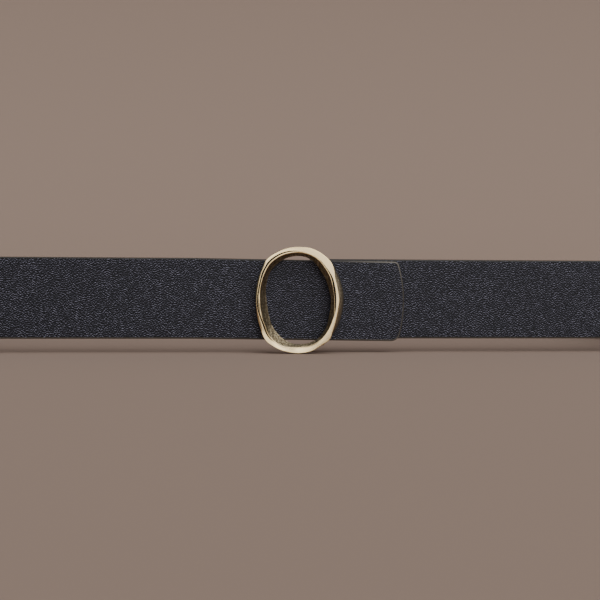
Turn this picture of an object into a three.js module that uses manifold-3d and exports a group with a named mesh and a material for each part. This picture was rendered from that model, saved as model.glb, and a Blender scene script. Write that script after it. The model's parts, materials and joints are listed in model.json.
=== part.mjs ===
// A leather belt closed with an oval ring buckle, standing on its edge. Millimetres, +Z up.
// The buckle faces -Y and the origin is the bottom centre of the whole belt.
//
// The belt is drawn level first: x runs to the right along the front, y goes back from the
// front face of the strap, and z goes up from the middle of the ring. The ring reaches below
// the strap, so the finished belt is tipped back until it stands on the ring and on the rear
// of the strap's lower edge.

import * as THREE from "three";
import { mergeVertices } from "three/addons/utils/BufferGeometryUtils.js";
import Module from "manifold-3d";

const wasm = await Module();
wasm.setup();

// The leather strap, one band with bevelled edges
const STRAP_WIDTH = 35;
const STRAP_THICKNESS = 2.5;
const EDGE_BEVEL = 0.4;
const LAYER_GAP = 0.3; // between two layers of leather that lie on each other
const STRAP_RISE = 0.65; // the middle of the strap over the middle of the ring

// The loop seen from above: a straight front, a corner and a wide shoulder on each side, and
// a straight rear, which the belt stands on
const FRONT_HALF_LENGTH = 138;
const CORNER_RADIUS = 41;
const CORNER_TURN = THREE.MathUtils.degToRad(110);
const CORNER_STEP = THREE.MathUtils.degToRad(10);
const SHOULDER_TURN = Math.PI - CORNER_TURN;
const SHOULDER_STEP = THREE.MathUtils.degToRad(5);
const REAR_LENGTH = 120;

// The free end, which lies over the other end of the strap and droops a little
const TIP_REACH = 46.3; // from the middle of the ring
const TIP_DROOP = 1.15;
const DROOP_START = -45;
const TIP_END_RADIUS = 56;
const TIP_UPPER_CORNER = 2.2;
const TIP_LOWER_CORNER = 4;

// The fixed end, which is folded round a pin and glued to its own back
const PIN_X = 8.5;
const PIN_RADIUS = 1;
const PIN_PLAY = 0.3;
const FOLD_RADIUS = PIN_RADIUS + PIN_PLAY + STRAP_THICKNESS / 2;
const FOLD_EXTRA_TURN = THREE.MathUtils.degToRad(30);
const FOLD_STEP = THREE.MathUtils.degToRad(15);
const FLAP_LENGTH = 30;

// The ring: an oval whose section changes all the way round
const RING_HALF_WIDTH = 19;
const RING_HALF_HEIGHT = 23.45;
const RING_STATIONS = 120;
const RING_CLEARANCE = 0.3; // between the left limb and the leather
const RING_SWING = THREE.MathUtils.degToRad(3); // the right limb stands further off the leather

// Sections of the ring by angle, counted from the right limb over the top. The first four
// sizes are offsets outwards from the oval, the next three heights in front of the ring's
// back: base is the outside at the back, shoulder the outer edge of the front face, crest its
// inner edge, bore the narrowest place inside, waist where the inside ends its slope, and drop
// how far the crest lies behind the face.
const RING_SECTIONS = [
  // angle base   shoulder crest  bore   shoulderHeight crestHeight waistHeight drop
  [  0,    0.0,   -2.55,   -4.7,  -5.75, 5.2,           5.2,        3.45,       0.5],
  [  15,   -0.05, -2.75,   -4.75, -6.15, 5.2,           5.2,        3.1,        0.45],
  [  27,   -0.15, -2.35,   -4.55, -6.1,  5.1,           5.2,        3.0,        0.35],
  [  35,   -0.35, -1.3,    -4.4,  -6.1,  4.9,           5.2,        2.9,        0.25],
  [  44,   -0.35, -0.45,   -4.3,  -6.1,  4.7,           5.2,        2.85,       0.2],
  [  60,   -0.3,  -0.4,    -3.8,  -5.3,  4.6,           5.0,        3.0,        0.2],
  [  75,   -0.35, -0.45,   -3.55, -4.8,  4.5,           4.9,        3.15,       0.2],
  [  90,   -0.5,  -0.6,    -3.25, -4.45, 4.55,          4.8,        3.15,       0.2],
  [  105,  -0.15, -0.1,    -2.7,  -4.1,  4.55,          4.7,        2.9,        0.15],
  [  120,  0.5,   0.65,    -1.85, -3.55, 4.55,          4.65,       2.45,       0.15],
  [  136,  1.35,  1.55,    -1.05, -3.05, 4.55,          4.6,        2.05,       0.15],
  [  143,  0.8,   1.05,    -1.05, -2.95, 4.5,           4.6,        2.2,        0.15],
  [  150,  0.6,   0.85,    -1.1,  -3.05, 4.5,           4.6,        2.1,        0.15],
  [  158,  0.55,  0.65,    -1.2,  -3.35, 4.45,          4.6,        1.9,        0.15],
  [  169,  0.3,   0.4,     -1.35, -3.85, 4.45,          4.6,        1.45,       0.15],
  [  180,  0.1,   0.25,    -1.5,  -4.55, 4.45,          4.6,        1.2,        -0.05],
  [  191,  0.1,   0.25,    -1.5,  -4.7,  4.45,          4.6,        1.2,        -0.05],
  [  202,  0.5,   0.6,     -1.5,  -4.6,  4.5,           4.6,        1.2,        0.15],
  [  211,  0.85,  0.95,    -1.45, -4.35, 4.55,          4.6,        1.3,        0.15],
  [  219,  1.3,   1.55,    -1.0,  -4.25, 4.65,          4.5,        1.9,        0.15],
  [  226,  1.5,   1.7,     -0.9,  -4.2,  4.75,          4.45,       1.9,        0.15],
  [  232,  1.05,  1.25,    -1.05, -4.2,  4.8,           4.4,        1.9,        0.15],
  [  242,  0.5,   0.6,     -1.4,  -4.15, 4.8,           4.4,        1.9,        0.15],
  [  255,  -0.2,  -0.2,    -2.55, -4.2,  4.8,           4.4,        2.25,       0.15],
  [  270,  -0.5,  -0.6,    -3.35, -4.45, 4.85,          4.6,        3.15,       0.1],
  [  285,  -0.65, -0.75,   -3.2,  -4.4,  5.05,          4.9,        3.45,       0.05],
  [  300,  -0.85, -0.95,   -3.2,  -4.25, 5.2,           5.15,       3.9,        0.05],
  [  313,  -0.4,  -0.5,    -3.35, -4.4,  5.2,           5.2,        3.9,        0.05],
  [  322,  -0.35, -1.55,   -3.55, -4.7,  5.2,           5.2,        3.75,       0.05],
  [  333,  -0.2,  -2.3,    -3.85, -5.2,  5.2,           5.2,        3.5,        0.1],
  [  341,  -0.15, -2.6,    -4.1,  -5.55, 5.2,           5.2,        3.2,        0.3],
  [  349,  -0.1,  -2.7,    -4.4,  -5.7,  5.2,           5.2,        3.25,       0.4],
];
const BEAD_WIDTH = 0.45; // the strip along the crest that falls off inwards
const OUTER_BEND = 0.6; // where the outer wall turns in towards the shoulder
const INNER_BEND = 0.2; // where the inside ends its slope, as a share from bore to crest
const WAIST_LENGTH = 0.4;
const UNDERCUT = 0.25;
const BACK_ROUNDING = 0.5;

// Behind the ring: a lug at the top and bottom that carry the pin, and the closing stud
const LUG_WIDTH = 4;
const LUG_INNER_Z = 18.5;
const LUG_OUTER_Z = 19.6;
const LUG_FRONT_Y = -3.2;
const LUG_BEHIND_PIN = 2.4;
const STUD_X = -17.2;
const STUD_RADIUS = 1.2;
const STUD_HEAD_RADIUS = 2.1;
const STUD_HEAD_HEIGHT = 1.1;
const STUD_CROWN = 0.7; // the flat top of the head, as a share of its radius
const STUD_ROOT_DEPTH = 1.5; // how far the post runs into the ring
const STUD_PLAY = 0.4;
const ROUND_SIDES = 16;

const leather = new THREE.MeshStandardMaterial({ color: 0x2d2c31, roughness: 0.55, metalness: 0 });
const paleGold = new THREE.MeshStandardMaterial({ color: 0xd9c8a4, roughness: 0.18, metalness: 1 });
const steel = new THREE.MeshStandardMaterial({ color: 0xb9b5ad, roughness: 0.35, metalness: 1 });

// A closed geometry as a solid that can be joined and cut.
function solidOf(geometry) {
  const bare = geometry.clone();
  bare.deleteAttribute("normal");
  bare.deleteAttribute("uv");
  const merged = mergeVertices(bare, 1e-4);
  return new wasm.Manifold(
    new wasm.Mesh({
      numProp: 3,
      vertProperties: merged.attributes.position.array,
      triVerts: new Uint32Array(merged.index.array),
    }),
  );
}

function geometryOf(solid) {
  const { vertProperties, triVerts } = solid.getMesh();
  const geometry = new THREE.BufferGeometry();
  geometry.setAttribute("position", new THREE.BufferAttribute(vertProperties, 3));
  geometry.setIndex(new THREE.BufferAttribute(triVerts, 1));
  geometry.computeVertexNormals();
  return geometry;
}

function meshOf(name, geometry, material) {
  const mesh = new THREE.Mesh(geometry, material);
  mesh.name = name;
  return mesh;
}

// Joins a row of equal closed sections into one skin. A closed row runs on into its first
// section, and an open one is capped at both ends.
function skin(sections, closed) {
  const count = sections[0].length;
  const index = [];
  const rows = closed ? sections.length : sections.length - 1;
  for (let row = 0; row < rows; row += 1) {
    const here = row * count;
    const next = ((row + 1) % sections.length) * count;
    for (let i = 0; i < count; i += 1) {
      const j = (i + 1) % count;
      index.push(here + i, next + i, next + j, here + i, next + j, here + j);
    }
  }
  if (!closed) {
    const last = (sections.length - 1) * count;
    for (let i = 1; i < count - 1; i += 1) {
      index.push(0, i, i + 1, last, last + i + 1, last + i);
    }
  }
  const geometry = new THREE.BufferGeometry();
  geometry.setAttribute("position", new THREE.Float32BufferAttribute(sections.flat(2), 3));
  geometry.setIndex(index);
  return geometry;
}

// Follows lines and arcs from a start, and returns the places passed: x, y and heading.
// A positive turn goes to the right, which is towards the wearer.
function tracePath(start, segments) {
  const places = [{ ...start }];
  for (const { length = 0, radius = 0, turn = 0, step = 1 } of segments) {
    const { x, y, heading } = places.at(-1);
    if (length > 0) {
      const end = { x: x + length * Math.cos(heading), y: y + length * Math.sin(heading), heading };
      places.push(end);
      continue;
    }
    const side = Math.sign(turn);
    const centreX = x + side * radius * Math.sin(heading);
    const centreY = y - side * radius * Math.cos(heading);
    const steps = Math.ceil(Math.abs(turn) / step);
    for (let i = 1; i <= steps; i += 1) {
      const turned = heading - (turn * i) / steps;
      places.push({
        x: centreX - side * radius * Math.sin(turned),
        y: centreY + side * radius * Math.cos(turned),
        heading: turned,
      });
    }
  }
  return places;
}

// How far the free end has dropped at x.
function droopAt(x) {
  const share = (x - DROOP_START) / (TIP_REACH - DROOP_START);
  return -TIP_DROOP * THREE.MathUtils.clamp(share, 0, 1);
}

// The strap's middle line seen from above, from the free end round the waist to the flap.
// The right half of the front lies one layer deeper, so the right corner is a little
// tighter, which brings both shoulders to the same depth. Behind the pin the fold turns too
// far and swings back on the closing radius, which lays the flap one layer behind the strap.
function strapPlaces() {
  const frontY = STRAP_THICKNESS / 2;
  const layerStep = STRAP_THICKNESS + LAYER_GAP;
  const tighter = layerStep / (1 - Math.cos(CORNER_TURN));
  const rightFront = FRONT_HALF_LENGTH + tighter * Math.sin(CORNER_TURN);
  const cornerEndX = FRONT_HALF_LENGTH + CORNER_RADIUS * Math.sin(CORNER_TURN);
  const shoulderRadius = (cornerEndX - REAR_LENGTH / 2) / Math.sin(SHOULDER_TURN);
  const swingBack = 2 * FOLD_RADIUS - layerStep;
  const closingRadius = swingBack / (1 - Math.cos(FOLD_EXTRA_TURN)) - FOLD_RADIUS;

  const start = { x: TIP_REACH, y: frontY, heading: Math.PI };
  return tracePath(start, [
    { length: TIP_REACH - DROOP_START },
    { length: FRONT_HALF_LENGTH + DROOP_START },
    { radius: CORNER_RADIUS, turn: CORNER_TURN, step: CORNER_STEP },
    { radius: shoulderRadius, turn: SHOULDER_TURN, step: SHOULDER_STEP },
    { length: REAR_LENGTH },
    { radius: shoulderRadius, turn: SHOULDER_TURN, step: SHOULDER_STEP },
    { radius: CORNER_RADIUS - tighter, turn: CORNER_TURN, step: CORNER_STEP },
    { length: rightFront - PIN_X },
    { radius: FOLD_RADIUS, turn: Math.PI + FOLD_EXTRA_TURN, step: FOLD_STEP },
    { radius: closingRadius, turn: -FOLD_EXTRA_TURN, step: FOLD_STEP },
    { length: FLAP_LENGTH },
  ]);
}

// The strap's section at a place: a flat band with a small bevel on each long edge.
function strapSection({ x, y, heading }, drop) {
  const face = STRAP_THICKNESS / 2;
  const edge = STRAP_WIDTH / 2;
  const corners = [
    [face, edge - EDGE_BEVEL],
    [face, -edge + EDGE_BEVEL],
    [face - EDGE_BEVEL, -edge],
    [-face + EDGE_BEVEL, -edge],
    [-face, -edge + EDGE_BEVEL],
    [-face, edge - EDGE_BEVEL],
    [-face + EDGE_BEVEL, edge],
    [face - EDGE_BEVEL, edge],
  ];
  return corners.map(([outward, up]) => [
    x - outward * Math.sin(heading),
    y + outward * Math.cos(heading),
    STRAP_RISE + drop + up,
  ]);
}

// What is cut away round the free end: a block less the rounded outline of the tip, which
// droops with the strap.
function tipWaste() {
  const half = STRAP_WIDTH / 2;
  const root = TIP_REACH - 3 * TIP_LOWER_CORNER;
  const endCentre = TIP_REACH - TIP_END_RADIUS;
  const [lower, upper] = [TIP_LOWER_CORNER, TIP_UPPER_CORNER].map((radius) => {
    const reach = Math.sqrt((TIP_END_RADIUS - radius) ** 2 - (half - radius) ** 2);
    return { radius, x: endCentre + reach, meeting: Math.atan2(half - radius, reach) };
  });
  const outline = new THREE.Shape();
  outline.moveTo(root, -half - 1);
  outline.lineTo(root, -half);
  outline.absarc(lower.x, lower.radius - half, lower.radius, -Math.PI / 2, -lower.meeting);
  outline.absarc(endCentre, 0, TIP_END_RADIUS, -lower.meeting, upper.meeting);
  outline.absarc(upper.x, half - upper.radius, upper.radius, upper.meeting, Math.PI / 2);
  outline.lineTo(root, half);
  outline.lineTo(root, half + 1);
  outline.lineTo(TIP_REACH + 1, half + 1);
  outline.lineTo(TIP_REACH + 1, -half - 1);
  const depth = STRAP_THICKNESS + LAYER_GAP;
  const waste = new THREE.ExtrudeGeometry(outline, { depth, bevelEnabled: false, curveSegments: 6 });
  waste.rotateX(Math.PI / 2);
  waste.translate(0, depth - LAYER_GAP / 2, STRAP_RISE);
  const at = waste.attributes.position;
  for (let i = 0; i < at.count; i += 1) at.setZ(i, at.getZ(i) + droopAt(at.getX(i)));
  return waste;
}

function strap() {
  const places = strapPlaces();
  const sections = places.map((place, i) => strapSection(place, i < 2 ? droopAt(place.x) : 0));
  const hole = new THREE.CylinderGeometry(
    STUD_RADIUS + STUD_PLAY,
    STUD_RADIUS + STUD_PLAY,
    2 * STRAP_THICKNESS,
    ROUND_SIDES,
  );
  hole.translate(STUD_X, STRAP_THICKNESS / 2, 0);
  const solid = solidOf(skin(sections, false)).subtract(solidOf(tipWaste())).subtract(solidOf(hole));
  return meshOf("strap", geometryOf(solid), leather);
}

// The ring's sizes at an angle, on a smooth closed curve through the rows of the table.
function ringSizesAt(degrees) {
  const rows = RING_SECTIONS;
  const after = rows.findIndex((row) => row[0] > degrees);
  const k = (after < 0 ? rows.length : after) - 1;
  const at = (i) => rows[(i + rows.length) % rows.length];
  const angleOf = (i) => at(i)[0] + 360 * Math.floor(i / rows.length);
  const span = angleOf(k + 1) - angleOf(k);
  const t = (degrees - angleOf(k)) / span;
  const sizes = at(k).slice(1).map((from, column) => {
    const to = at(k + 1)[column + 1];
    const slope = (i) =>
      (at(i + 1)[column + 1] - at(i - 1)[column + 1]) / (angleOf(i + 1) - angleOf(i - 1));
    const leave = slope(k) * span;
    const arrive = slope(k + 1) * span;
    return (
      from * (1 + 2 * t) * (1 - t) ** 2 +
      leave * t * (1 - t) ** 2 +
      to * t * t * (3 - 2 * t) -
      arrive * t * t * (1 - t)
    );
  });
  const [base, shoulder, crest, bore, shoulderHeight, crestHeight, waistHeight, drop] = sizes;
  return { base, shoulder, crest, bore, shoulderHeight, crestHeight, waistHeight, drop };
}

// The middle of a curve from start to end that leans towards pull.
function bendMiddle(start, pull, end) {
  return [0, 1].map((i) => (start[i] + 2 * pull[i] + end[i]) / 4);
}

// The ring's outline at one angle, as pairs of offset and height, from the outside at the
// back over the front face to the inside.
function ringProfile(sizes) {
  const { base, shoulder, crest, bore, shoulderHeight, crestHeight, waistHeight, drop } = sizes;
  const wallStart = [base, BACK_ROUNDING];
  const outerEdge = [shoulder, shoulderHeight];
  const innerEdge = [crest, crestHeight - drop];
  const waist = [bore, waistHeight - WAIST_LENGTH];
  return [
    [base - BACK_ROUNDING, 0],
    wallStart,
    bendMiddle(wallStart, [base, OUTER_BEND * shoulderHeight], outerEdge),
    outerEdge,
    [crest + BEAD_WIDTH, crestHeight],
    innerEdge,
    bendMiddle(innerEdge, [bore + INNER_BEND * (crest - bore), waistHeight], waist),
    waist,
    [bore + UNDERCUT, BACK_ROUNDING],
    [bore + UNDERCUT + BACK_ROUNDING, 0],
  ];
}

function ringSection(degrees) {
  const angle = THREE.MathUtils.degToRad(degrees);
  const ovalX = RING_HALF_WIDTH * Math.cos(angle);
  const ovalZ = RING_HALF_HEIGHT * Math.sin(angle);
  const outward = new THREE.Vector2(
    Math.cos(angle) / RING_HALF_WIDTH,
    Math.sin(angle) / RING_HALF_HEIGHT,
  ).normalize();
  return ringProfile(ringSizesAt(degrees)).map(([offset, height]) => {
    const x = ovalX + offset * outward.x;
    const z = ovalZ + offset * outward.y;
    const swing = (x + RING_HALF_WIDTH) * Math.tan(RING_SWING);
    return [x, -RING_CLEARANCE - swing - height, z];
  });
}

const pinY = 1.5 * STRAP_THICKNESS + LAYER_GAP + FOLD_RADIUS;

function lug(side) {
  const depth = pinY + LUG_BEHIND_PIN - LUG_FRONT_Y;
  const block = new THREE.BoxGeometry(LUG_WIDTH, depth, LUG_OUTER_Z - LUG_INNER_Z);
  block.translate(PIN_X, LUG_FRONT_Y + depth / 2, (side * (LUG_INNER_Z + LUG_OUTER_Z)) / 2);
  return block;
}

// A mushroom-headed post on the back of the left limb, which buttons through the strap.
function stud() {
  const rootY = -RING_CLEARANCE - STUD_ROOT_DEPTH;
  const headY = STRAP_THICKNESS + LAYER_GAP;
  const profile = [
    [0, rootY],
    [STUD_RADIUS, rootY],
    [STUD_RADIUS, headY],
    [STUD_HEAD_RADIUS, headY],
    [STUD_HEAD_RADIUS, headY + STUD_HEAD_HEIGHT / 2],
    [STUD_HEAD_RADIUS * STUD_CROWN, headY + STUD_HEAD_HEIGHT],
    [0, headY + STUD_HEAD_HEIGHT],
  ].map(([radius, y]) => new THREE.Vector2(radius, y));
  const post = new THREE.LatheGeometry(profile, ROUND_SIDES);
  post.translate(STUD_X, 0, 0);
  return post;
}

function pin(radius, length) {
  const rod = new THREE.CylinderGeometry(radius, radius, length, ROUND_SIDES);
  rod.rotateX(Math.PI / 2);
  rod.translate(PIN_X, pinY, 0);
  return rod;
}

function ringBuckle() {
  const sections = [];
  for (let i = 0; i < RING_STATIONS; i += 1) sections.push(ringSection((360 * i) / RING_STATIONS));
  let solid = solidOf(skin(sections, true));
  for (const piece of [lug(1), lug(-1), stud()]) solid = solid.add(solidOf(piece));
  solid = solid.subtract(solidOf(pin(PIN_RADIUS + PIN_PLAY, 3 * LUG_OUTER_Z)));
  return meshOf("ring_buckle", geometryOf(solid), paleGold);
}

function foldPin() {
  return meshOf("fold_pin", pin(PIN_RADIUS, 2 * LUG_OUTER_Z), steel);
}

// The angle by which the belt leans back when it stands on the ring and its rear edge.
function leanAngle(strapMesh, ringMesh) {
  const rearY = new THREE.Box3().setFromObject(strapMesh).max.y - EDGE_BEVEL;
  const lowerEdge = STRAP_RISE - STRAP_WIDTH / 2;
  const at = ringMesh.geometry.attributes.position;
  let lean = 0;
  for (let i = 0; i < at.count; i += 1) {
    lean = Math.max(lean, Math.atan2(lowerEdge - at.getZ(i), rearY - at.getY(i)));
  }
  return lean;
}

const belt = new THREE.Group();
const strapMesh = strap();
const ringMesh = ringBuckle();
belt.add(strapMesh, ringMesh, foldPin());
belt.rotation.x = -leanAngle(strapMesh, ringMesh);

const box = new THREE.Box3().setFromObject(belt, true);
const centre = box.getCenter(new THREE.Vector3());
belt.position.set(-centre.x, -centre.y, -box.min.z);

const part = new THREE.Group();
part.add(belt);
export default part;
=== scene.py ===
import json
import math
from itertools import pairwise

import bmesh
import bpy
from mathutils import Matrix, Vector


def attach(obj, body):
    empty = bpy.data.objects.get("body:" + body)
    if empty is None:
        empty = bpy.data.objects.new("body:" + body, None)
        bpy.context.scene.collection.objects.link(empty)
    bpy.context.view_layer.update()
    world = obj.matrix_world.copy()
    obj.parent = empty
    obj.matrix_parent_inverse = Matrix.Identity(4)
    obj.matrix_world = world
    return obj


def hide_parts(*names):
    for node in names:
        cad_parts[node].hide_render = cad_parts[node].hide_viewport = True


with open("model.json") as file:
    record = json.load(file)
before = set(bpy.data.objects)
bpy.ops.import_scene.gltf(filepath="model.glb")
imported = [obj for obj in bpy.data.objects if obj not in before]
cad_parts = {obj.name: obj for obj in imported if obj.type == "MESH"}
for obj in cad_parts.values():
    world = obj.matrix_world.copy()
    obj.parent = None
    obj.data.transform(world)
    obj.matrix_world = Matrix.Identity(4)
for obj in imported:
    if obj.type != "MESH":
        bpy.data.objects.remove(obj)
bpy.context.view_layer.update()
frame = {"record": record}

# Where the belt stands. It is drawn level, in millimetres: x runs to the right along the
# front, y goes back from the front face of the strap, z goes up from the middle of the ring.
# The flat face that the record names on the strap's front gives its lean and its place.
MM = 0.001
FRONT_FACE_LEVEL = Vector((-100, 0, 9))

front_face = next(m for m in frame["record"]["mounts"] if m["name"] == "front_face")
lean = math.asin(front_face["axis"][2])
leaned = Matrix.Rotation(-lean, 4, "X") @ Matrix.Scale(MM, 4)
standing = Matrix.Translation(Vector(front_face["pos_m"]) - leaned @ FRONT_FACE_LEVEL) @ leaned


# The camera is level with the ring's middle, square to the strap's lean and five degrees to
# the left, so the left end is a little nearer. The frame holds about 261 mm of the strap.
# RING_MIDDLE_PIXEL is where the middle of the ring lies in the photograph.
PHOTO_SIDE = 600
PHOTO_PIXELS_PER_MM = 2.296
RING_MIDDLE_PIXEL = (299.5, 300.1)
PHOTO_CENTRE_X = (PHOTO_SIDE / 2 - RING_MIDDLE_PIXEL[0]) / PHOTO_PIXELS_PER_MM
PHOTO_CENTRE_Z = (RING_MIDDLE_PIXEL[1] - PHOTO_SIDE / 2) / PHOTO_PIXELS_PER_MM
CAMERA_DISTANCE = 450
CAMERA_YAW = math.radians(5.0)
CAMERA_ROLL = math.radians(0.17)
SENSOR_WIDTH = 36
NEAREST_M = 0.02
FARTHEST_M = 20

camera = bpy.data.objects.new("camera", bpy.data.cameras.new("camera"))
bpy.context.scene.collection.objects.link(camera)
bpy.context.scene.camera = camera
camera.data.sensor_width = SENSOR_WIDTH
camera.data.lens = SENSOR_WIDTH * CAMERA_DISTANCE * PHOTO_PIXELS_PER_MM / PHOTO_SIDE
camera.data.clip_start = NEAREST_M
camera.data.clip_end = FARTHEST_M
aim = Vector((PHOTO_CENTRE_X, 0, PHOTO_CENTRE_Z))
away = Matrix.Rotation(-CAMERA_YAW, 3, "Z") @ Vector((0, -1, 0))
upright = Matrix.Rotation(math.radians(90), 4, "X")
camera.matrix_world = (
    Matrix.Translation(standing @ (aim + CAMERA_DISTANCE * away))
    @ Matrix.Rotation(-lean, 4, "X")
    @ Matrix.Rotation(-CAMERA_YAW, 4, "Z")
    @ upright
    @ Matrix.Rotation(CAMERA_ROLL, 4, "Z")
)


# The strap: one band of black leather, fine grained on the front, plain on the flesh side,
# with rounded and painted edges. Its free end lies on the front. Its other end is folded
# round the pin behind the ring and glued to its own back.
STRAP_WIDTH = 35
STRAP_THICKNESS = 2.5
STRAP_RISE = 0.65
LAYER_GAP = 0.3
FRONT_HALF_LENGTH = 138
CORNER_RADIUS = 41
CORNER_TURN = math.radians(110)
SHOULDER_TURN = math.pi - CORNER_TURN
REAR_LENGTH = 120
TIP_REACH = 46.3
TIP_DROOP = 1.15
DROOP_START = -45
TIP_END_RADIUS = 56
TIP_UPPER_CORNER = 2.2
TIP_LOWER_CORNER = 4
EDGE_ROUND = 0.7
EDGE_SQUARENESS = 0.8
PIN_X = 8.5
PIN_RADIUS = 1
PIN_PLAY = 0.3
FOLD_RADIUS = PIN_RADIUS + PIN_PLAY + STRAP_THICKNESS / 2
FOLD_EXTRA_TURN = math.radians(30)
FLAP_LENGTH = 30
STUD_X = -17.2
STUD_RADIUS = 1.2
STUD_PLAY = 0.4
STRAP_SHARP_ANGLE = math.radians(50)
LINE_STEP = 3
TURN_STEP = math.radians(2.5)
FOLD_STEP = math.radians(10)
CORNER_POINTS = 10
END_POINTS = 24
FACE_COLUMNS = 15
RIM_POINTS = 13


def linear(hex_colour):
    """An sRGB hex colour as linear RGBA."""
    channels = [int(hex_colour[i : i + 2], 16) / 255 for i in (1, 3, 5)]
    return [c / 12.92 if c <= 0.04045 else ((c + 0.055) / 1.055) ** 2.4 for c in channels] + [1]


def add_node(material, kind, inputs=None, links=None, **settings):
    """Adds a shader node. inputs holds values by socket, links holds output sockets by socket."""
    node = material.node_tree.nodes.new(kind)
    for name, value in settings.items():
        setattr(node, name, value)
    for socket, value in (inputs or {}).items():
        node.inputs[socket].default_value = value
    for socket, source in (links or {}).items():
        material.node_tree.links.new(source, node.inputs[socket])
    return node


def new_material(name):
    """An empty node material with its output node."""
    material = bpy.data.materials.new(name)
    material.use_nodes = True
    material.node_tree.nodes.clear()
    return material, add_node(material, "ShaderNodeOutputMaterial")


def turned_path(start, segments):
    """Follows lines and arcs and returns (x, y, heading, length so far) in millimetres."""
    x, y, heading = start
    gone = 0
    places = [(x, y, heading, gone)]
    for length, radius, turn, step in segments:
        if length:
            steps = math.ceil(length / step)
            for i in range(1, steps + 1):
                part = length * i / steps
                places.append(
                    (x + part * math.cos(heading), y + part * math.sin(heading), heading, gone + part)
                )
        else:
            side = math.copysign(1, turn)
            centre_x = x + side * radius * math.sin(heading)
            centre_y = y - side * radius * math.cos(heading)
            steps = math.ceil(abs(turn) / step)
            for i in range(1, steps + 1):
                now = heading - turn * i / steps
                places.append(
                    (
                        centre_x - side * radius * math.sin(now),
                        centre_y + side * radius * math.cos(now),
                        now,
                        gone + radius * abs(turn) * i / steps,
                    )
                )
        x, y, heading, gone = places[-1]
    return places


def strap_path():
    """The strap's middle line from the root of the free end round the waist to the flap.
    The right half of the front lies one layer deeper, so the right corner is a little tighter.
    Behind the pin the fold turns too far and swings back on the closing radius, which lays the
    flap one layer behind the strap."""
    layer_step = STRAP_THICKNESS + LAYER_GAP
    tighter = layer_step / (1 - math.cos(CORNER_TURN))
    right_front = FRONT_HALF_LENGTH + tighter * math.sin(CORNER_TURN)
    corner_end = FRONT_HALF_LENGTH + CORNER_RADIUS * math.sin(CORNER_TURN)
    shoulder_radius = (corner_end - REAR_LENGTH / 2) / math.sin(SHOULDER_TURN)
    swing_back = 2 * FOLD_RADIUS - layer_step
    closing_radius = swing_back / (1 - math.cos(FOLD_EXTRA_TURN)) - FOLD_RADIUS
    segments = [
        (tip_root + FRONT_HALF_LENGTH, 0, 0, LINE_STEP),
        (0, CORNER_RADIUS, CORNER_TURN, TURN_STEP),
        (0, shoulder_radius, SHOULDER_TURN, TURN_STEP),
        (REAR_LENGTH, 0, 0, LINE_STEP),
        (0, shoulder_radius, SHOULDER_TURN, TURN_STEP),
        (0, CORNER_RADIUS - tighter, CORNER_TURN, TURN_STEP),
        (right_front - PIN_X, 0, 0, LINE_STEP),
        (0, FOLD_RADIUS, math.pi + FOLD_EXTRA_TURN, FOLD_STEP),
        (0, closing_radius, -FOLD_EXTRA_TURN, FOLD_STEP),
        (FLAP_LENGTH, 0, 0, LINE_STEP),
    ]
    return turned_path((tip_root, STRAP_THICKNESS / 2, math.pi), segments)


def tip_edge(corner_radius):
    """The free end's edge from its middle to the root: (x, distance from the middle, outward)."""
    half = STRAP_WIDTH / 2
    end_centre = TIP_REACH - TIP_END_RADIUS
    lift = half - corner_radius
    corner_x = end_centre + math.sqrt((TIP_END_RADIUS - corner_radius) ** 2 - lift**2)
    meeting = math.atan2(lift, corner_x - end_centre)
    edge = []
    for i in range(END_POINTS):
        angle = meeting * i / END_POINTS
        outward = Vector((math.cos(angle), math.sin(angle)))
        edge.append((Vector((end_centre, 0)) + TIP_END_RADIUS * outward, outward))
    for i in range(CORNER_POINTS + 1):
        angle = meeting + (math.pi / 2 - meeting) * i / CORNER_POINTS
        outward = Vector((math.cos(angle), math.sin(angle)))
        edge.append((Vector((corner_x, lift)) + corner_radius * outward, outward))
    return edge


def droop_at(x):
    """The free end's change of height at x, below zero where it droops."""
    share = (x - DROOP_START) / (TIP_REACH - DROOP_START)
    return -TIP_DROOP * min(max(share, 0), 1)


def rim_point(angle):
    """The rounded edge's outline: how far out it stands and its place in the thickness."""
    out = EDGE_ROUND * math.sin(angle) ** EDGE_SQUARENESS
    level = math.copysign(abs(math.cos(angle)) ** EDGE_SQUARENESS, math.cos(angle))
    return out - EDGE_ROUND, level * STRAP_THICKNESS / 2


def strap_section(upper, lower):
    """One section as (x, height, place in the thickness), round the strap from the top front.
    upper and lower are the two edge points, each a point and its outward direction."""
    half_turn = [math.pi * i / (RIM_POINTS + 1) for i in range(1, RIM_POINTS + 1)]
    columns = [i / (FACE_COLUMNS - 1) for i in range(FACE_COLUMNS)]
    upper_inset = upper[0] - EDGE_ROUND * upper[1]
    lower_inset = lower[0] - EDGE_ROUND * lower[1]
    thick = STRAP_THICKNESS / 2
    section = [(*upper_inset.lerp(lower_inset, c), thick) for c in columns]
    for angle in half_turn:
        out, level = rim_point(angle)
        section.append((*(lower[0] + out * lower[1]), level))
    section += [(*lower_inset.lerp(upper_inset, c), -thick) for c in columns]
    for angle in reversed(half_turn):
        out, level = rim_point(angle)
        section.append((*(upper[0] + out * upper[1]), level))
    return section


def turned(profile, place, axis, steps=48):
    """A solid turned about an axis. profile holds pairs of radius and distance along the axis."""
    solid = bmesh.new()
    side = axis.orthogonal().normalized()
    other = axis.cross(side)
    rounds = []
    for radius, along in profile:
        angles = [math.tau * i / steps for i in range(steps)]
        outs = [math.cos(a) * side + math.sin(a) * other for a in angles]
        level = [place + along * axis + radius * out for out in outs]
        rounds.append([solid.verts.new(standing @ point) for point in level])
    for a, b in pairwise(rounds):
        for i in range(steps):
            j = (i + 1) % steps
            solid.faces.new((a[i], a[j], b[j], b[i])).smooth = True
    solid.faces.new(rounds[0])
    solid.faces.new(rounds[-1])
    bmesh.ops.recalc_face_normals(solid, faces=solid.faces)
    return solid


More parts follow.
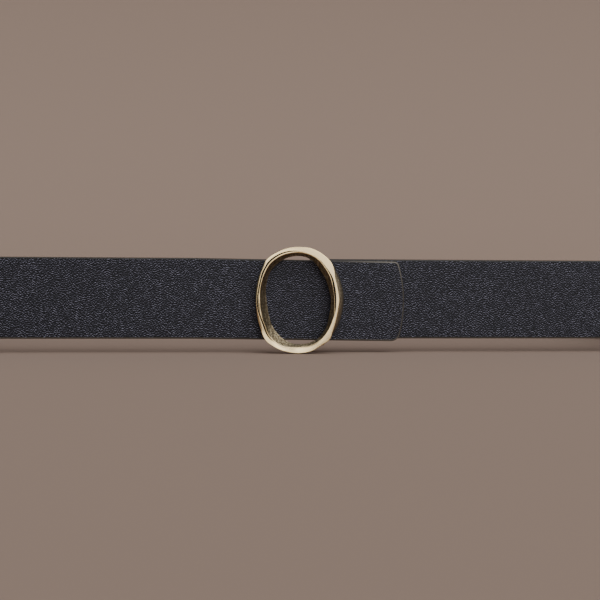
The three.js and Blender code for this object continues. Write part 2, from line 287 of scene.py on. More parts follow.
def combine(target, solid, operation, material):
    """Joins a solid to an object or cuts it out. Its faces there take the given material."""
    tool = bpy.data.objects.new("tool", bpy.data.meshes.new("tool"))
    solid.to_mesh(tool.data)
    solid.free()
    tool.data.materials.append(material)
    bpy.context.scene.collection.objects.link(tool)
    modifier = target.modifiers.new("combine", "BOOLEAN")
    modifier.operation = operation
    modifier.solver = "EXACT"
    modifier.material_mode = "TRANSFER"
    modifier.object = tool
    evaluated = target.evaluated_get(bpy.context.evaluated_depsgraph_get())
    target.data = bpy.data.meshes.new_from_object(evaluated)
    target.modifiers.remove(modifier)
    bpy.data.objects.remove(tool)


tip_upper = tip_edge(TIP_UPPER_CORNER)
tip_lower = [(Vector((p.x, -p.y)), Vector((n.x, -n.y))) for p, n in tip_edge(TIP_LOWER_CORNER)]
tip_root = min(tip_upper[-1][0].x, tip_lower[-1][0].x) - LINE_STEP

strap_sections = []
for upper, lower in zip(tip_upper, tip_lower, strict=True):
    section = []
    for x, height, outward in strap_section(upper, lower):
        level = Vector((x, STRAP_THICKNESS / 2 - outward, STRAP_RISE + droop_at(x) + height))
        section.append((level, TIP_REACH - x, height))
    strap_sections.append(section)
half_width = Vector((0, STRAP_WIDTH / 2))
straight = strap_section((half_width, Vector((0, 1))), (-half_width, Vector((0, -1))))
for place, (x, y, heading, gone) in enumerate(strap_path()):
    drop = droop_at(x) if gone < tip_root + FRONT_HALF_LENGTH else 0
    section = []
    for _, height, outward in straight:
        across = Vector((-math.sin(heading), math.cos(heading), 0))
        level = Vector((x, y, STRAP_RISE + drop + height)) + outward * across
        section.append((level, TIP_REACH - tip_root + gone, height))
    strap_sections.append(section)

strap_mesh = bmesh.new()
grain_uv = strap_mesh.loops.layers.uv.new("strap_mm")
rows = []
along_and_height = {}
for section in strap_sections:
    row = []
    for level, along, height in section:
        vertex = strap_mesh.verts.new(standing @ level)
        along_and_height[vertex] = (along * MM, height * MM)
        row.append(vertex)
    rows.append(row)
GRAIN, FLESH, PAINT = 0, 1, 2
around = len(rows[0])


def band_of(i):
    """The material of the strip that starts at the section's point i."""
    if i < FACE_COLUMNS - 1:
        return GRAIN
    if FACE_COLUMNS + RIM_POINTS <= i < 2 * FACE_COLUMNS + RIM_POINTS - 1:
        return FLESH
    return PAINT


for row, next_row in pairwise(rows):
    for i in range(around):
        j = (i + 1) % around
        face = strap_mesh.faces.new((row[i], row[j], next_row[j], next_row[i]))
        face.material_index = band_of(i)
        face.smooth = True
for row in (rows[0], rows[-1]):
    front = row[:FACE_COLUMNS]
    back = row[FACE_COLUMNS + RIM_POINTS : 2 * FACE_COLUMNS + RIM_POINTS][::-1]
    lower_rim = row[FACE_COLUMNS : FACE_COLUMNS + RIM_POINTS]
    upper_rim = row[2 * FACE_COLUMNS + RIM_POINTS :][::-1]
    for (a, b), (c, d) in zip(pairwise(front), pairwise(back), strict=True):
        strap_mesh.faces.new((a, b, d, c)).material_index = PAINT
    for rim, corner, other in (
        (lower_rim, front[-1], back[-1]),
        (upper_rim, front[0], back[0]),
    ):
        strap_mesh.faces.new((corner, *rim, other)).material_index = PAINT
bmesh.ops.recalc_face_normals(strap_mesh, faces=strap_mesh.faces)
for face in strap_mesh.faces:
    for loop in face.loops:
        loop[grain_uv].uv = along_and_height[loop.vert]

strap = bpy.data.objects.new("strap_leather", bpy.data.meshes.new("strap_leather"))
strap_mesh.to_mesh(strap.data)
strap_mesh.free()
bpy.context.scene.collection.objects.link(strap)

# Grained calf leather, drum dyed black and finished with a thin satin coat. Rolling it one
# way left fine wavy creases along the strap, about a millimetre apart, deeper in some places
# than in others. Painted shade darkens the creases and painted highlights lighten the ridges
# into pale flecks: the tone follows the relief and runs from the crease colour to the fleck
# colour over TONE_HEIGHTS.
LEATHER_CREASE_SHADE = "#020203"
LEATHER_FLAT = "#23232a"
LEATHER_FLECK_HIGHLIGHT = "#8e8ea1"
CREASE_SPACING_MM = 0.84
CREASE_LENGTH_MM = 1.3
CREASE_DEPTH_MM = 0.27
CREASE_ALIGNMENT = 0.42
CREASE_MIDDLE = 0.53
PATCH_MM = 4.5
PATCH_DEPTHS = (0.85, 1.4)
PORE_SPACING_MM = 0.45
PORE_DEPTH_SHARE = 0.25
TONE_HEIGHTS = (-0.3, 0.55)
CREASE_SHADE_PLACE, FLAT_PLACE, FLECK_HIGHLIGHT_PLACE = 0.28, 0.5, 0.85

grain, grain_out = new_material("grained_black_leather")
uv = add_node(grain, "ShaderNodeUVMap", uv_map="strap_mm")
creases = add_node(
    grain,
    "ShaderNodeTexGabor",
    {
        "Scale": 1 / (CREASE_LENGTH_MM * MM),
        "Frequency": CREASE_LENGTH_MM / CREASE_SPACING_MM,
        "Anisotropy": CREASE_ALIGNMENT,
        "Orientation": math.radians(90),
    },
    {"Vector": uv.outputs["UV"]},
)
pores = add_node(
    grain,
    "ShaderNodeTexNoise",
    {"Scale": 1 / (PORE_SPACING_MM * MM), "Detail": 2, "Roughness": 0.6},
    {"Vector": uv.outputs["UV"]},
)
patches = add_node(
    grain,
    "ShaderNodeTexNoise",
    {"Scale": 1 / (PATCH_MM * MM), "Detail": 1},
    {"Vector": uv.outputs["UV"]},
)
patch_depth = add_node(
    grain,
    "ShaderNodeMapRange",
    {
        "From Min": 0.35,
        "From Max": 0.65,
        "To Min": PATCH_DEPTHS[0],
        "To Max": PATCH_DEPTHS[1],
    },
    {"Value": patches.outputs["Fac"]},
)
crease_wave = add_node(
    grain,
    "ShaderNodeMath",
    {1: CREASE_MIDDLE},
    {0: creases.outputs["Value"]},
    operation="SUBTRACT",
)
deepened = add_node(
    grain,
    "ShaderNodeMath",
    None,
    {0: crease_wave.outputs["Value"], 1: patch_depth.outputs["Result"]},
    operation="MULTIPLY",
)
relief_height = add_node(
    grain,
    "ShaderNodeMath",
    {1: PORE_DEPTH_SHARE},
    {0: pores.outputs["Fac"], 2: deepened.outputs["Value"]},
    operation="MULTIPLY_ADD",
)
relief = add_node(
    grain,
    "ShaderNodeBump",
    {"Strength": 1, "Distance": CREASE_DEPTH_MM * MM},
    {"Height": relief_height.outputs["Value"]},
)
shade_and_highlight_place = add_node(
    grain,
    "ShaderNodeMapRange",
    {"From Min": TONE_HEIGHTS[0], "From Max": TONE_HEIGHTS[1]},
    {"Value": relief_height.outputs["Value"]},
)
# The ramp paints shade into the creases and highlights onto the ridges.
tone = add_node(grain, "ShaderNodeValToRGB", None, {"Fac": shade_and_highlight_place.outputs["Result"]})
tone.color_ramp.elements[0].position = CREASE_SHADE_PLACE
tone.color_ramp.elements[0].color = linear(LEATHER_CREASE_SHADE)
tone.color_ramp.elements[1].position = FLECK_HIGHLIGHT_PLACE
tone.color_ramp.elements[1].color = linear(LEATHER_FLECK_HIGHLIGHT)
flat = tone.color_ramp.elements.new(FLAT_PLACE)
flat.color = linear(LEATHER_FLAT)
leather_shader = add_node(
    grain,
    "ShaderNodeBsdfPrincipled",
    {"Roughness": 0.45, "IOR": 1.5, "Specular IOR Level": 0.2},
    {"Base Color": tone.outputs["Color"], "Normal": relief.outputs["Normal"]},
)
grain.node_tree.links.new(leather_shader.outputs["BSDF"], grain_out.inputs["Surface"])

# The flesh side: the same hide, shaved and dyed, with a dull short nap.
FLESH_BLACK = "#201e20"
NAP_SPACING_MM = 0.35
NAP_DEPTH_MM = 0.08

flesh, flesh_out = new_material("shaved_flesh_side")
flesh_uv = add_node(flesh, "ShaderNodeUVMap", uv_map="strap_mm")
nap = add_node(
    flesh,
    "ShaderNodeTexNoise",
    {"Scale": 1 / (NAP_SPACING_MM * MM), "Detail": 4, "Roughness": 0.7},
    {"Vector": flesh_uv.outputs["UV"]},
)
nap_relief = add_node(
    flesh,
    "ShaderNodeBump",
    {"Strength": 1, "Distance": NAP_DEPTH_MM * MM},
    {"Height": nap.outputs["Fac"]},
)
flesh_shader = add_node(
    flesh,
    "ShaderNodeBsdfPrincipled",
    {"Base Color": linear(FLESH_BLACK), "Roughness": 0.85, "IOR": 1.5},
    {"Normal": nap_relief.outputs["Normal"]},
)
flesh.node_tree.links.new(flesh_shader.outputs["BSDF"], flesh_out.inputs["Surface"])

# Edge paint: a rounded black-brown coat over the cut edge, smooth and a little glossy.
# Near the tip of the free end a painted highlight lightens it to a paler grey, most of all at
# the upper edge, and this fades out between 8 and 28 mm from the tip. A fainter painted
# highlight lightens the lower edge all the way along. Distances are taken from the tip and from
# the middle of the strap's width.
EDGE_PAINT = "#221b14"
PAINTED_EDGE_HIGHLIGHT = "#6e685f"
EDGE_HIGHLIGHT_MM = (8, 28)
EDGE_HIGHLIGHT_HEIGHT_MM = (6, 16)
EDGE_HIGHLIGHT_LOW_MM = (-16, -14)
EDGE_HIGHLIGHT_END_SHARE = 0.35
EDGE_HIGHLIGHT_LOW_SHARE = 0.35
BRUSH_MARK_MM = 2.5
BRUSH_DEPTH_MM = 0.06

paint, paint_out = new_material("edge_paint")
paint_uv = add_node(paint, "ShaderNodeUVMap", uv_map="strap_mm")
along_strap = add_node(paint, "ShaderNodeSeparateXYZ", None, {"Vector": paint_uv.outputs["UV"]})
edge_highlight_near_tip = add_node(
    paint,
    "ShaderNodeMapRange",
    {"From Min": EDGE_HIGHLIGHT_MM[0] * MM, "From Max": EDGE_HIGHLIGHT_MM[1] * MM, "To Min": 1, "To Max": 0},
    {"Value": along_strap.outputs["X"]},
)
edge_highlight_high = add_node(
    paint,
    "ShaderNodeMapRange",
    {
        "From Min": EDGE_HIGHLIGHT_HEIGHT_MM[0] * MM,
        "From Max": EDGE_HIGHLIGHT_HEIGHT_MM[1] * MM,
        "To Min": EDGE_HIGHLIGHT_END_SHARE,
        "To Max": 1,
    },
    {"Value": along_strap.outputs["Y"]},
)
edge_highlight_low = add_node(
    paint,
    "ShaderNodeMapRange",
    {
        "From Min": EDGE_HIGHLIGHT_LOW_MM[0] * MM,
        "From Max": EDGE_HIGHLIGHT_LOW_MM[1] * MM,
        "To Min": EDGE_HIGHLIGHT_LOW_SHARE,
        "To Max": 0,
    },
    {"Value": along_strap.outputs["Y"]},
)
edge_highlight_share = add_node(
    paint,
    "ShaderNodeMath",
    None,
    {
        0: edge_highlight_near_tip.outputs["Result"],
        1: edge_highlight_high.outputs["Result"],
        2: edge_highlight_low.outputs["Result"],
    },
    operation="MULTIPLY_ADD",
)
# The paler grey mixed in here is a painted highlight on the edge.
paint_tone = add_node(
    paint,
    "ShaderNodeMix",
    {"A": linear(EDGE_PAINT), "B": linear(PAINTED_EDGE_HIGHLIGHT)},
    {"Factor": edge_highlight_share.outputs["Value"]},
    data_type="RGBA",
)
brushed_on = add_node(
    paint,
    "ShaderNodeTexNoise",
    {"Scale": 1 / (BRUSH_MARK_MM * MM), "Detail": 2},
    {"Vector": paint_uv.outputs["UV"]},
)
paint_relief = add_node(
    paint,
    "ShaderNodeBump",
    {"Strength": 0.6, "Distance": BRUSH_DEPTH_MM * MM},
    {"Height": brushed_on.outputs["Fac"]},
)
paint_shader = add_node(
    paint,
    "ShaderNodeBsdfPrincipled",
    {"Roughness": 0.45, "IOR": 1.5, "Specular IOR Level": 0.5},
    {"Base Color": paint_tone.outputs["Result"], "Normal": paint_relief.outputs["Normal"]},
)
paint.node_tree.links.new(paint_shader.outputs["BSDF"], paint_out.inputs["Surface"])

for material in (grain, flesh, paint):
    strap.data.materials.append(material)
hole_radius = STUD_RADIUS + STUD_PLAY
hole_place = Vector((STUD_X, STRAP_THICKNESS / 2, 0))
across_strap = [(hole_radius, -STRAP_THICKNESS), (hole_radius, STRAP_THICKNESS)]
combine(strap, turned(across_strap, hole_place, Vector((0, 1, 0))), "DIFFERENCE", flesh)
strap.data.set_sharp_from_angle(angle=STRAP_SHARP_ANGLE)
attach(strap, "root")
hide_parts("strap")


# The ring buckle: an oval ring cast in zinc, polished and plated in pale gold. Its section
# changes all the way round. Two lugs at the back hold the pin, and a stud behind the left
# limb buttons through the strap.
RING_HALF_WIDTH = 19
RING_HALF_HEIGHT = 23.45
RING_STATIONS = 360
RING_CLEARANCE = 0.3
RING_SWING = math.radians(3)
# Columns: angle, then base, shoulder, crest and bore as offsets outwards from the oval, then
# the heights of shoulder, crest and waist in front of the ring's back, how far the bead falls
# off inwards, how far the curve of the face is pulled up, and the widths of the bead along
# the crest and of the groove beside it. The four offsets weren't chosen by hand: a fitting
# program worked them out from places read off the photograph.
RING_SECTIONS = [
    (0, 0.0, -2.55, -4.7, -5.75, 5.2, 5.2, 3.45, 0.5, 0.03, 0.28, 0.7),
    (15, -0.05, -2.75, -4.75, -6.15, 5.2, 5.2, 3.1, 0.45, 0.03, 0.3, 0.8),
    (27, -0.15, -2.35, -4.55, -6.1, 5.1, 5.2, 3.0, 0.35, 0.03, 0.45, 0.75),
    (35, -0.35, -1.3, -4.4, -6.1, 4.9, 5.2, 2.9, 0.25, 0.03, 0.5, 0.5),
    (44, -0.35, -0.45, -4.3, -6.1, 4.7, 5.2, 2.85, 0.2, 0.03, 0.5, 0.3),
    (60, -0.3, -0.4, -3.8, -5.3, 4.6, 5.0, 3.0, 0.2, 0.03, 0.5, 0.2),
    (75, -0.35, -0.45, -3.55, -4.8, 4.5, 4.9, 3.15, 0.2, 0.03, 0.5, 0.1),
    (90, -0.5, -0.6, -3.25, -4.45, 4.55, 4.8, 3.15, 0.2, 0.03, 0.6, 0.2),
    (105, -0.15, -0.1, -2.7, -4.1, 4.55, 4.7, 2.9, 0.15, 0.02, 0.66, 0.50),
    (120, 0.5, 0.65, -1.85, -3.55, 4.55, 4.65, 2.45, 0.15, 0.04, 0.71, 0.62),
    (136, 1.35, 1.55, -1.05, -3.05, 4.55, 4.6, 2.05, 0.15, 0.02, 0.68, 0.71),
    (143, 0.8, 1.05, -1.05, -2.95, 4.5, 4.6, 2.2, 0.15, 0.04, 0.64, 0.67),
    (150, 0.6, 0.85, -1.1, -3.05, 4.5, 4.6, 2.1, 0.15, 0.04, 0.62, 0.68),
    (158, 0.55, 0.65, -1.2, -3.35, 4.45, 4.6, 1.9, 0.15, 0.06, 0.49, 0.56),
    (169, 0.3, 0.4, -1.35, -3.85, 4.45, 4.6, 1.45, 0.15, 0.06, 0.47, 0.52),
    (180, 0.1, 0.25, -1.5, -4.55, 4.45, 4.6, 1.2, -0.05, 0.08, 0.86, 0.44),
    (191, 0.1, 0.25, -1.5, -4.7, 4.45, 4.6, 1.2, -0.05, 0.08, 0.86, 0.44),
    (202, 0.5, 0.6, -1.5, -4.6, 4.5, 4.6, 1.2, 0.15, 0.05, 0.39, 0.58),
    (211, 0.85, 0.95, -1.45, -4.35, 4.55, 4.6, 1.3, 0.15, 0.04, 0.38, 0.66),
    (219, 1.3, 1.55, -1.0, -4.25, 4.65, 4.5, 1.9, 0.15, 0.03, 0.45, 0.5),
    (226, 1.5, 1.7, -0.9, -4.2, 4.75, 4.45, 1.9, 0.15, 0.03, 0.45, 0.35),
    (232, 1.05, 1.25, -1.05, -4.2, 4.8, 4.4, 1.9, 0.15, 0.03, 0.5, 0.1),
    (242, 0.5, 0.6, -1.4, -4.15, 4.8, 4.4, 1.9, 0.15, 0.03, 0.5, 0.1),
    (255, -0.2, -0.2, -2.55, -4.2, 4.8, 4.4, 2.25, 0.15, 0.03, 0.5, 0.1),
    (270, -0.5, -0.6, -3.35, -4.45, 4.85, 4.6, 3.15, 0.1, 0.03, 0.3, 0.1),
    (285, -0.65, -0.75, -3.2, -4.4, 5.05, 4.9, 3.45, 0.05, 0.03, 0.3, 0.1),
    (300, -0.85, -0.95, -3.2, -4.25, 5.2, 5.15, 3.9, 0.05, 0.03, 0.3, 0.1),
    (313, -0.4, -0.5, -3.35, -4.4, 5.2, 5.2, 3.9, 0.05, 0.03, 0.3, 0.1),
    (322, -0.35, -1.55, -3.55, -4.7, 5.2, 5.2, 3.75, 0.05, 0.03, 0.3, 0.1),
    (333, -0.2, -2.3, -3.85, -5.2, 5.2, 5.2, 3.5, 0.1, 0.03, 0.3, 0.1),
    (341, -0.15, -2.6, -4.1, -5.55, 5.2, 5.2, 3.2, 0.3, 0.03, 0.4, 0.15),
    (349, -0.1, -2.7, -4.4, -5.7, 5.2, 5.2, 3.25, 0.4, 0.03, 0.3, 0.5),
]
FOOT_STEPS = 4
WALL_STEPS = 8
EDGE_STEPS = 5
FACE_STEPS = 12
GROOVE_STEPS = 3
BEAD_STEPS = 6
SLOPE_STEPS = 10
SHOULDER_ROUNDING = 0.18
BACK_ROUNDING = 0.5
OUTER_BEND = 0.6
INNER_BEND = 0.2
CROWN_PLACE = 0.6
NO_GROOVE_WIDTH = 0.1
GROOVE_STEEPNESS = 1.1
GROOVE_SLOPE = 0.4
BEAD_FULLNESS = 0.25
BEAD_LEAN = 0.2
WAIST_LENGTH = 0.4
UNDERCUT = 0.25
LUG_WIDTH = 4
LUG_INNER_Z = 18.5
LUG_OUTER_Z = 19.6
LUG_FRONT_Y = -3.2
LUG_BEHIND_PIN = 2.4
LUG_ROUNDING = 0.35
STUD_HEAD_RADIUS = 2.1
STUD_HEAD_HEIGHT = 1.1
STUD_ROOT_DEPTH = 1.5
STUD_ROUNDING = 0.2
STUD_CROWN_SHARES = [(1, 0.5), (0.9, 0.85), (0.7, 1)]
BORE_REACH = 1.5 * LUG_OUTER_Z
RING_SHARP_ANGLE = math.radians(40)
PIN_Y = 1.5 * STRAP_THICKNESS + LAYER_GAP + FOLD_RADIUS


def ring_sizes(angle):
    """The ring's sizes at an angle in degrees, on a smooth closed curve through the rows."""
    rows = RING_SECTIONS
    count = len(rows)
    k = max(i for i, row in enumerate(rows) if row[0] <= angle)

    def row_at(i):
        return rows[i % count]

    def angle_at(i):
        return row_at(i)[0] + 360 * (i // count)

    span = angle_at(k + 1) - angle_at(k)
    t = (angle - angle_at(k)) / span
    sizes = []
    for column in range(1, len(rows[0])):

        def slope(i, column=column):
            rise = row_at(i + 1)[column] - row_at(i - 1)[column]
            return rise / (angle_at(i + 1) - angle_at(i - 1))

        leave = slope(k) * span
        arrive = slope(k + 1) * span
        sizes.append(
            row_at(k)[column] * (1 + 2 * t) * (1 - t) ** 2
            + leave * t * (1 - t) ** 2
            + row_at(k + 1)[column] * t * t * (3 - 2 * t)
            - arrive * t * t * (1 - t)
        )
    return sizes


def bent(start, pull, end, count):
    """Points on a curve from start to end that leans towards pull, both ends included."""
    shares = [i / count for i in range(count + 1)]
    return [start * (1 - t) ** 2 + pull * 2 * t * (1 - t) + end * t * t for t in shares]


def ring_profile(
    base,
    shoulder,
    crest,
    bore,
    shoulder_height,
    crest_height,
    waist_height,
    drop,
    crown,
    bead,
    groove_width,
):
    """The ring's outline at one angle, from the outside at the back over the front inwards."""
    lift = Vector((0, BACK_ROUNDING))
    inset = Vector((BACK_ROUNDING, 0))
    foot_out = Vector((base, 0))
    edge = Vector((shoulder, shoulder_height))
    outer_bend = Vector((base, OUTER_BEND * shoulder_height))
    bead_out = Vector((crest + bead, crest_height))
    bead_in = Vector((crest, crest_height - drop))
    inner_bend = Vector((bore + INNER_BEND * (crest - bore), waist_height))
    waist = Vector((bore, waist_height - WAIST_LENGTH))
    foot_in = Vector((bore + UNDERCUT, 0))
    face_end = Vector((crest + bead + groove_width, crest_height))
    along_face = (face_end - edge).normalized()
    face_start = edge + SHOULDER_ROUNDING * along_face
    wall_end = edge + SHOULDER_ROUNDING * (outer_bend - edge).normalized()
    face_pull = face_start.lerp(face_end, CROWN_PLACE) + Vector((0, crown))
    relief = groove_width - NO_GROOVE_WIDTH
    groove = (face_end + bead_out) / 2 - Vector((0, GROOVE_STEEPNESS * relief))
    bead_pull = Vector((crest + BEAD_LEAN * bead, crest_height + BEAD_FULLNESS * relief))
    return [
        *bent(foot_out - inset, foot_out, foot_out + lift, FOOT_STEPS),
        *bent(foot_out + lift, outer_bend, wall_end, WALL_STEPS)[1:-1],
        *bent(wall_end, edge, face_start, EDGE_STEPS),
        *bent(face_start, face_pull, face_end, FACE_STEPS)[1:],
        groove.lerp(face_end, GROOVE_SLOPE),
        groove.lerp(bead_out, GROOVE_SLOPE),
        *bent(bead_out, bead_pull, bead_in, BEAD_STEPS),
        *bent(bead_in, inner_bend, waist, SLOPE_STEPS)[1:],
        *bent(foot_in + lift, foot_in, foot_in + inset, FOOT_STEPS),
    ]


# The strips of the profile that are the outer side, the groove and the inside, which starts
# at the bead's last step, and the groove's width from which the painted shade stays in it.
GROOVE_START = FOOT_STEPS + WALL_STEPS + EDGE_STEPS + FACE_STEPS
BEAD_START = GROOVE_START + GROOVE_STEPS
BEAD_END = BEAD_START + BEAD_STEPS
OUTER_STRIPS = range(FOOT_STEPS + WALL_STEPS)
GROOVE_STRIPS = range(GROOVE_START, BEAD_START)
INSIDE_STRIPS = range(BEAD_END - 1, BEAD_END + SLOPE_STEPS + FOOT_STEPS)
GROOVE_SHADE_WIDTH = 0.22
POLISHED, GROOVE_SHADE, OUTSIDE, INSIDE = 0, 1, 2, 3

ring_mesh = bmesh.new()
ring_rows = []
groove_shade_stations = []
for station in range(RING_STATIONS):
    degrees = 360 * station / RING_STATIONS
    angle = math.radians(degrees)
    oval = Vector((RING_HALF_WIDTH * math.cos(angle), RING_HALF_HEIGHT * math.sin(angle)))
    outward = Vector((math.cos(angle) / RING_HALF_WIDTH, math.sin(angle) / RING_HALF_HEIGHT))
    outward.normalize()
    row = []
    sizes = ring_sizes(degrees)
    groove_shade_stations.append(sizes[-1] > GROOVE_SHADE_WIDTH)
    for offset, height in ring_profile(*sizes):
        point = oval + offset * outward
        swing = (point.x + RING_HALF_WIDTH) * math.tan(RING_SWING)
        level = Vector((point.x, -RING_CLEARANCE - swing - height, point.y))
        row.append(ring_mesh.verts.new(standing @ level))
    ring_rows.append(row)
for groove_shaded, (row, next_row) in zip(
    groove_shade_stations, pairwise([*ring_rows, ring_rows[0]]), strict=True
):
    for i in range(len(row)):
        j = (i + 1) % len(row)
        face = ring_mesh.faces.new((row[i], row[j], next_row[j], next_row[i]))
        face.smooth = True
        if i in OUTER_STRIPS:
            face.material_index = OUTSIDE
        elif i in INSIDE_STRIPS:
            face.material_index = INSIDE
        # Painted shade in the groove.
        elif groove_shaded and i in GROOVE_STRIPS:
            face.material_index = GROOVE_SHADE
        else:
            face.material_index = POLISHED
bmesh.ops.recalc_face_normals(ring_mesh, faces=ring_mesh.faces)
ring = bpy.data.objects.new("ring_buckle_gold", bpy.data.meshes.new("ring_buckle_gold"))
ring_mesh.to_mesh(ring.data)
ring_mesh.free()
bpy.context.scene.collection.objects.link(ring)

# Pale gold plating over polished zinc: a warm cream metal with clear, slightly soft
# reflections.
PLATE_GOLD = "#dec596"

plate, plate_out = new_material("polished_pale_gold")
plate_shader = add_node(
    plate,
    "ShaderNodeBsdfPrincipled",
    {"Base Color": linear(PLATE_GOLD), "Metallic": 1, "Roughness": 0.16},
)
plate.node_tree.links.new(plate_shader.outputs["BSDF"], plate_out.inputs["Surface"])

# The groove beside the bead is painted dark brown: painted shade along the groove.
GROOVE_SHADE_BROWN = "#1f1710"

painted_groove_shade, painted_groove_shade_out = new_material("painted_groove_shade")
painted_groove_shade_shader = add_node(
    painted_groove_shade,
    "ShaderNodeBsdfPrincipled",
    {"Base Color": linear(GROOVE_SHADE_BROWN), "Roughness": 0.6, "Specular IOR Level": 0.2},
)
painted_groove_shade.node_tree.links.new(
    painted_groove_shade_shader.outputs["BSDF"], painted_groove_shade_out.inputs["Surface"]
)

# The outer side and the inside of the ring are plated over metal that was only tumbled, so
# they are darker, softer in their reflections and uneven, with patches of duller plating. The
# inside is painted darker again, with much darker dull patches: painted shade in the ring.
TUMBLE_MM = 0.9
TUMBLE_DEPTH_MM = 0.42
DULL_PATCH_MM = 0.8
OUTSIDE_GOLD = "#c4b598"
OUTSIDE_DULL = "#a8997d"
INSIDE_SHADED_GOLD = "#c0b192"
INSIDE_SHADED_DULL = "#86775d"
DULL_RANGE = (0.38, 0.62)


def tumbled_metal(name, gold, dull):
    """Tumbled and plated metal, gold with dull patches."""
    material, output = new_material(name)
    place = add_node(material, "ShaderNodeTexCoord")
    tumbling = add_node(
        material,
        "ShaderNodeTexNoise",
        {"Scale": 1 / (TUMBLE_MM * MM), "Detail": 3, "Roughness": 0.6},
        {"Vector": place.outputs["Object"]},
    )
    relief = add_node(
        material,
        "ShaderNodeBump",
        {"Strength": 1, "Distance": TUMBLE_DEPTH_MM * MM},
        {"Height": tumbling.outputs["Fac"]},
    )
    patches = add_node(
        material,
        "ShaderNodeTexNoise",
        {"Scale": 1 / (DULL_PATCH_MM * MM), "Detail": 2},
        {"Vector": place.outputs["Object"]},
    )
    dullness = add_node(
        material,
        "ShaderNodeMapRange",
        {"From Min": DULL_RANGE[0], "From Max": DULL_RANGE[1]},
        {"Value": patches.outputs["Fac"]},
    )
    tone = add_node(
        material,
        "ShaderNodeMix",
        {"A": linear(gold), "B": linear(dull)},
        {"Factor": dullness.outputs["Result"]},
        data_type="RGBA",
    )
    shader = add_node(
        material,
        "ShaderNodeBsdfPrincipled",
        {"Metallic": 1, "Roughness": 0.3},
        {"Base Color": tone.outputs["Result"], "Normal": relief.outputs["Normal"]},
    )
    material.node_tree.links.new(shader.outputs["BSDF"], output.inputs["Surface"])
    return material


outside = tumbled_metal("tumbled_pale_gold_outside", OUTSIDE_GOLD, OUTSIDE_DULL)
# The inside's darker gold and dull patches are painted shade.
inside = tumbled_metal("tumbled_pale_gold_inside_shaded", INSIDE_SHADED_GOLD, INSIDE_SHADED_DULL)
for material in (plate, painted_groove_shade, outside, inside):
    ring.data.materials.append(material)

for end in (1, -1):
    lug = bmesh.new()
    lug_size = Vector((LUG_WIDTH, PIN_Y + LUG_BEHIND_PIN - LUG_FRONT_Y, LUG_OUTER_Z - LUG_INNER_Z))
    lug_place = Vector((PIN_X, LUG_FRONT_Y + lug_size.y / 2, end * (LUG_INNER_Z + LUG_OUTER_Z) / 2))
    box = standing @ Matrix.Translation(lug_place) @ Matrix.Diagonal((*lug_size, 1))
    bmesh.ops.create_cube(lug, size=1, matrix=box)
    bmesh.ops.bevel(
        lug, geom=lug.edges[:], offset=LUG_ROUNDING * MM, segments=4, profile=0.5, affect="EDGES"
    )
    for face in lug.faces:
        face.smooth = True
    combine(ring, lug, "UNION", plate)
# The stud's shank, then its head. The crown's shares are of the head's radius and height.
head_start = STRAP_THICKNESS + LAYER_GAP
stud_profile = [
    (STUD_RADIUS, -RING_CLEARANCE - STUD_ROOT_DEPTH),
    (STUD_RADIUS, head_start),
    (STUD_HEAD_RADIUS - STUD_ROUNDING, head_start),
    (STUD_HEAD_RADIUS, head_start + STUD_ROUNDING),
]
for width, height in STUD_CROWN_SHARES:
    stud_profile.append((width * STUD_HEAD_RADIUS, head_start + height * STUD_HEAD_HEIGHT))
combine(ring, turned(stud_profile, Vector((STUD_X, 0, 0)), Vector((0, 1, 0))), "UNION", plate)
bore_radius = PIN_RADIUS + PIN_PLAY
pin_bore = [(bore_radius, -BORE_REACH), (bore_radius, BORE_REACH)]
combine(ring, turned(pin_bore, Vector((PIN_X, PIN_Y, 0)), Vector((0, 0, 1))), "DIFFERENCE", plate)
ring.data.set_sharp_from_angle(angle=RING_SHARP_ANGLE)
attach(ring, "root")
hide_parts("ring_buckle")


# The fold pin: a straight steel pin that the folded end of the strap goes round. It rests in
# the ring's two lugs.
PIN_END_ROUNDING = 0.25
PIN_CORNER_SHARE = 0.3

corner_inset = PIN_CORNER_SHARE * PIN_END_ROUNDING
upper_end = [
    (PIN_RADIUS, LUG_OUTER_Z - PIN_END_ROUNDING),
    (PIN_RADIUS - corner_inset, LUG_OUTER_Z - corner_inset),
    (PIN_RADIUS - PIN_END_ROUNDING, LUG_OUTER_Z),
]
pin_profile = [(radius, -along) for radius, along in reversed(upper_end)] + upper_end
pin_mesh = turned(pin_profile, Vector((PIN_X, PIN_Y, 0)), Vector((0, 0, 1)))
pin = bpy.data.objects.new("fold_pin_steel", bpy.data.meshes.new("fold_pin_steel"))
pin_mesh.to_mesh(pin.data)
pin_mesh.free()
bpy.context.scene.collection.objects.link(pin)

# Drawn steel wire, bright, with fine marks along its length from the die.
DRAWN_STEEL = "#b8b4ac"
DIE_MARK_WIDTH_MM = 0.12
DIE_MARK_LENGTH_MM = 6
MARK_ROUGHNESS = (0.22, 0.42)

steel, steel_out = new_material("drawn_steel")
steel_place = add_node(steel, "ShaderNodeTexCoord")
marks_across = 1 / (DIE_MARK_WIDTH_MM * MM)
die_marks = add_node(
    steel,
    "ShaderNodeMapping",
    {"Scale": (marks_across, marks_across, 1 / (DIE_MARK_LENGTH_MM * MM))},
    {"Vector": steel_place.outputs["Object"]},
)
marks = add_node(
    steel,
    "ShaderNodeTexNoise",
    {"Scale": 1, "Detail": 2},
    {"Vector": die_marks.outputs["Vector"]},
)
mark_roughness = add_node(
    steel,
    "ShaderNodeMapRange",
    {
        "From Min": 0.3,
        "From Max": 0.7,
        "To Min": MARK_ROUGHNESS[0],
        "To Max": MARK_ROUGHNESS[1],
    },
    {"Value": marks.outputs["Fac"]},
)
steel_shader = add_node(
    steel,
    "ShaderNodeBsdfPrincipled",
    {"Base Color": linear(DRAWN_STEEL), "Metallic": 1},
    {"Roughness": mark_roughness.outputs["Result"]},
)
steel.node_tree.links.new(steel_shader.outputs["BSDF"], steel_out.inputs["Surface"])
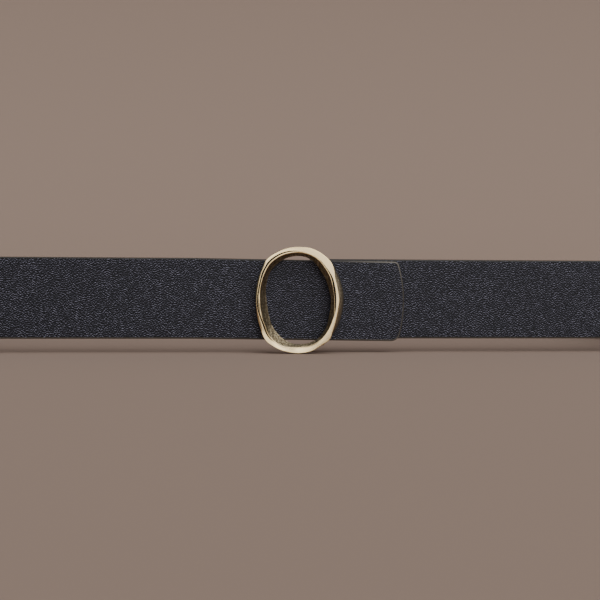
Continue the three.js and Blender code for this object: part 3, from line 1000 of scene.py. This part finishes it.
pin.data.materials.append(steel)
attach(pin, "root")
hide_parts("fold_pin")


# The studio, in metres: a taupe paper floor that curves up into a wall behind the belt. The
# belt is lit from the front and above by broad soft lights, more from the right than from the
# left, and the air of the room fills the shadows.
FLOOR_TAUPE = "#988376"
FLOOR_FRONT = -3.0
FLOOR_HALF_WIDTH = 4.0
CURVE_START = 0.8
CURVE_RADIUS = 1.2
WALL_HEIGHT = 3.5
CURVE_STEPS = 24

floor_mesh = bmesh.new()
floor_line = [Vector((0, FLOOR_FRONT, 0)), Vector((0, CURVE_START, 0))]
for i in range(1, CURVE_STEPS + 1):
    angle = math.pi / 2 * i / CURVE_STEPS
    floor_line.append(
        Vector((0, CURVE_START + CURVE_RADIUS * math.sin(angle), CURVE_RADIUS * (1 - math.cos(angle))))
    )
floor_line.append(Vector((0, CURVE_START + CURVE_RADIUS, WALL_HEIGHT)))
left = [floor_mesh.verts.new(p + Vector((-FLOOR_HALF_WIDTH, 0, 0))) for p in floor_line]
right = [floor_mesh.verts.new(p + Vector((FLOOR_HALF_WIDTH, 0, 0))) for p in floor_line]
for (a, b), (c, d) in zip(pairwise(left), pairwise(right), strict=True):
    floor_mesh.faces.new((a, c, d, b)).smooth = True
floor = bpy.data.objects.new("studio_floor", bpy.data.meshes.new("studio_floor"))
floor_mesh.to_mesh(floor.data)
floor_mesh.free()
bpy.context.scene.collection.objects.link(floor)
backdrop, backdrop_out = new_material("matt_backdrop_paper")
backdrop_shader = add_node(
    backdrop,
    "ShaderNodeBsdfPrincipled",
    {"Base Color": linear(FLOOR_TAUPE), "Roughness": 0.9},
)
backdrop.node_tree.links.new(backdrop_shader.outputs["BSDF"], backdrop_out.inputs["Surface"])
floor.data.materials.append(backdrop)

# Columns: name, then in degrees the height above the horizon, the turn from straight in front
# towards the belt's right end in the photograph, and the width of the light, then its strength.
SOFT_LIGHTS = [
    ("light_front", 12, 12, 46, 0.9),
    ("light_left", 14, -14, 20, 0.11),
    ("light_high", 45, 28, 50, 0.7),
    ("light_above", 86, 0, 44, 1.12),
    ("light_right", 50, 62, 40, 0.4),
    ("light_side", 8, 95, 60, 0.3),
]
for name, rise, turn, spread, strength in SOFT_LIGHTS:
    light = bpy.data.lights.new(name, "SUN")
    light.angle = math.radians(spread)
    light.energy = strength
    lamp = bpy.data.objects.new(name, light)
    lamp.rotation_euler = (math.radians(90 - rise), 0, math.radians(turn))
    bpy.context.scene.collection.objects.link(lamp)

AIR_GREY = "#8a8c8f"
AIR_STRENGTH = 0.34
world = bpy.data.worlds.new("studio_air")
world.use_nodes = True
world.node_tree.nodes["Background"].inputs["Color"].default_value = linear(AIR_GREY)
world.node_tree.nodes["Background"].inputs["Strength"].default_value = AIR_STRENGTH
bpy.context.scene.world = world
